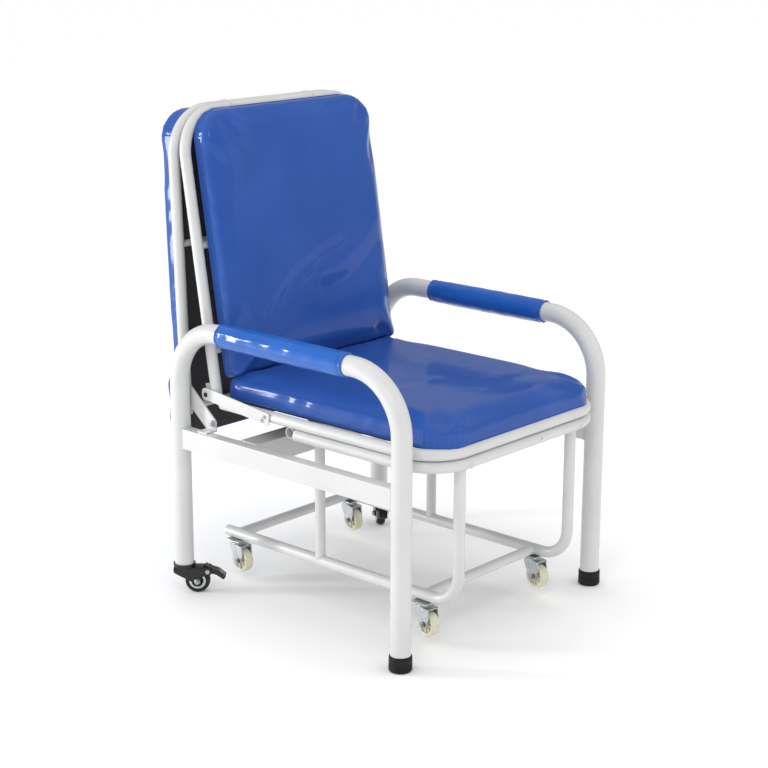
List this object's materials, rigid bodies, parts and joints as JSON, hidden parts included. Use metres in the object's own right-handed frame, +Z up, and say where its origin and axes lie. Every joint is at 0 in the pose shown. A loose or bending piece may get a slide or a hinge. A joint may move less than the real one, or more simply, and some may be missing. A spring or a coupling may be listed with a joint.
{
  "type": "folding ward recliner chair",
  "caption": "Ward chair that unfolds into a bed: tube hoops with padded arms, rolling seat, folding backrest and rear panel.",
  "frame": {"origin": "centre of the chair's bounding box on the floor, upright chair position", "axes": "+Z up, the chair faces -Y, +X to the left-hand side of a person sitting in it"},
  "size_m": [0.6568, 0.7774, 1.0041],
  "materials": {
    "frame_paint": "satin off-white powder coat on steel tube",
    "seat_vinyl": "glossy blue upholstery vinyl over foam",
    "sleeve_vinyl": "glossy bright blue vinyl sleeve over foam",
    "backing": "black woven backing cloth over board",
    "foot_rubber": "matte black rubber",
    "white_plastic": "moulded white plastic",
    "black_nylon": "moulded black nylon",
    "hub_grey": "moulded dark hub",
    "tyre_black": "black rubber tread",
    "bolt_steel": "zinc-plated fasteners",
    "zinc_plate": "bright zinc-plated pressed steel",
    "ivory_wheel": "moulded ivory nylon"
  },
  "bodies": {
    "base": {"hoop_left": "frame_paint", "hoop_right": "frame_paint", "side_rail_left": "frame_paint", "side_rail_right": "frame_paint", "cross_rails": "frame_paint", "pivot_bracket_left": "frame_paint", "pivot_bracket_right": "frame_paint", "front_foot_left": "foot_rubber", "front_foot_right": "foot_rubber", "armrest_sleeve_left": "sleeve_vinyl", "armrest_sleeve_right": "sleeve_vinyl", "frame_bolts": "bolt_steel", "caster_socket_left": "black_nylon", "caster_socket_right": "black_nylon"},
    "rear_panel": {"rear_panel_frame": "frame_paint", "rear_panel_slats": "frame_paint", "rear_panel_board": "backing", "rear_panel_cushion": "seat_vinyl", "rear_panel_pillow": "seat_vinyl", "rear_panel_pivots": "bolt_steel"},
    "hinge_clips": {"hinge_clips": "frame_paint"},
    "backrest": {"back_frame": "frame_paint", "back_slats": "frame_paint", "back_board": "backing", "back_cushion": "seat_vinyl", "back_ears": "frame_paint"},
    "seat_trolley": {"seat_frame": "frame_paint", "seat_board": "backing", "seat_cushion": "seat_vinyl", "seat_link_left": "frame_paint", "seat_link_right": "frame_paint", "trolley_loop": "frame_paint", "trolley_side_left": "frame_paint", "trolley_side_right": "frame_paint", "trolley_crossbars": "frame_paint", "trolley_posts": "frame_paint", "end_plugs": "white_plastic", "caster_plates": "zinc_plate"},
    "brake_caster_left": {"brake_caster_housing_left": "black_nylon", "brake_caster_axle_left": "bolt_steel"},
    "brake_wheel_left": {"brake_caster_hub_left": "hub_grey", "brake_caster_tyre_left": "tyre_black"},
    "brake_lever_left": {"brake_pedal_left": "black_nylon"},
    "brake_caster_right": {"brake_caster_housing_right": "black_nylon", "brake_caster_axle_right": "bolt_steel"},
    "brake_wheel_right": {"brake_caster_hub_right": "hub_grey", "brake_caster_tyre_right": "tyre_black"},
    "brake_lever_right": {"brake_pedal_right": "black_nylon"},
    "trolley_caster_front_left": {"caster_fork_front_left": "zinc_plate", "caster_axle_front_left": "zinc_plate"},
    "trolley_wheel_front_left": {"caster_wheel_front_left": "ivory_wheel"},
    "trolley_caster_front_right": {"caster_fork_front_right": "zinc_plate", "caster_axle_front_right": "zinc_plate"},
    "trolley_wheel_front_right": {"caster_wheel_front_right": "ivory_wheel"},
    "trolley_caster_rear_left": {"caster_fork_rear_left": "zinc_plate", "caster_axle_rear_left": "zinc_plate"},
    "trolley_wheel_rear_left": {"caster_wheel_rear_left": "ivory_wheel"},
    "trolley_caster_rear_right": {"caster_fork_rear_right": "zinc_plate", "caster_axle_rear_right": "zinc_plate"},
    "trolley_wheel_rear_right": {"caster_wheel_rear_right": "ivory_wheel"}
  },
  "joints": [
    {"name": "rear_panel_fold", "type": "hinge", "parent": "base", "child": "rear_panel", "pos_m": [0, 0.2994, 0.4252], "axis": [1, 0, 0], "range_deg": [0, 92.2]},
    {"name": "clip_turn", "type": "hinge", "parent": "rear_panel", "child": "hinge_clips", "pos_m": [0, 0.3215, 0.9912], "axis": [1, 0, 0], "range_deg": [-92.3, 0]},
    {"name": "backrest_fold", "type": "hinge", "parent": "hinge_clips", "child": "backrest", "pos_m": [0, 0.29735, 0.9912], "axis": [1, 0, 0], "range_deg": [-80.9, 0]},
    {"name": "seat_turn", "type": "hinge", "parent": "backrest", "child": "seat_trolley", "pos_m": [0, 0.2222, 0.429], "axis": [1, 0, 0], "range_deg": [0, 80.9]},
    {"name": "brake_caster_swivel_left", "type": "hinge", "parent": "base", "child": "brake_caster_left", "pos_m": [-0.303, 0.2685, 0.05], "axis": [0, 0, 1], "continuous": true},
    {"name": "brake_wheel_spin_left", "type": "hinge", "parent": "brake_caster_left", "child": "brake_wheel_left", "pos_m": [-0.28529, 0.24812, 0.026], "axis": [-0.7547, -0.6561, 0], "continuous": true},
    {"name": "brake_pedal_tip_left", "type": "hinge", "parent": "brake_caster_left", "child": "brake_lever_left", "pos_m": [-0.27085, 0.23152, 0.048], "axis": [-0.7547, -0.6561, 0], "range_deg": [-12, 0]},
    {"name": "brake_caster_swivel_right", "type": "hinge", "parent": "base", "child": "brake_caster_right", "pos_m": [0.303, 0.2685, 0.05], "axis": [0, 0, 1], "continuous": true},
    {"name": "brake_wheel_spin_right", "type": "hinge", "parent": "brake_caster_right", "child": "brake_wheel_right", "pos_m": [0.28529, 0.24812, 0.026], "axis": [-0.7547, 0.6561, 0], "continuous": true},
    {"name": "brake_pedal_tip_right", "type": "hinge", "parent": "brake_caster_right", "child": "brake_lever_right", "pos_m": [0.27085, 0.23152, 0.048], "axis": [-0.7547, 0.6561, 0], "range_deg": [-12, 0]},
    {"name": "trolley_caster_swivel_front_left", "type": "hinge", "parent": "seat_trolley", "child": "trolley_caster_front_left", "pos_m": [-0.1738, -0.279, 0.0825], "axis": [0, 0, 1], "continuous": true},
    {"name": "trolley_wheel_spin_front_left", "type": "hinge", "parent": "trolley_caster_front_left", "child": "trolley_wheel_front_left", "pos_m": [-0.17628, -0.29176, 0.0452], "axis": [-0.9816, 0.1908, 0], "continuous": true},
    {"name": "trolley_caster_swivel_front_right", "type": "hinge", "parent": "seat_trolley", "child": "trolley_caster_front_right", "pos_m": [0.1738, -0.279, 0.0825], "axis": [0, 0, 1], "continuous": true},
    {"name": "trolley_wheel_spin_front_right", "type": "hinge", "parent": "trolley_caster_front_right", "child": "trolley_wheel_front_right", "pos_m": [0.17177, -0.29184, 0.0452], "axis": [-0.9877, 0.1564, 0], "continuous": true},
    {"name": "trolley_caster_swivel_rear_left", "type": "hinge", "parent": "seat_trolley", "child": "trolley_caster_rear_left", "pos_m": [-0.1738, 0.24, 0.0825], "axis": [0, 0, 1], "continuous": true},
    {"name": "trolley_wheel_spin_rear_left", "type": "hinge", "parent": "trolley_caster_rear_left", "child": "trolley_wheel_rear_left", "pos_m": [-0.17516, 0.22707, 0.0452], "axis": [-0.9945, 0.1045, 0], "continuous": true},
    {"name": "trolley_caster_swivel_rear_right", "type": "hinge", "parent": "seat_trolley", "child": "trolley_caster_rear_right", "pos_m": [0.1738, 0.24, 0.0825], "axis": [0, 0, 1], "continuous": true},
    {"name": "trolley_wheel_spin_rear_right", "type": "hinge", "parent": "trolley_caster_rear_right", "child": "trolley_wheel_rear_right", "pos_m": [0.1711, 0.22728, 0.0452], "axis": [-0.9781, 0.2079, 0], "continuous": true}
  ],
  "couplings": [
    {"joint": "clip_turn", "follows": "rear_panel_fold", "ratio": -1},
    {"joint": "backrest_fold", "follows": "rear_panel_fold", "ratio": -0.87601},
    {"joint": "seat_turn", "follows": "rear_panel_fold", "ratio": 0.87601}
  ]
}
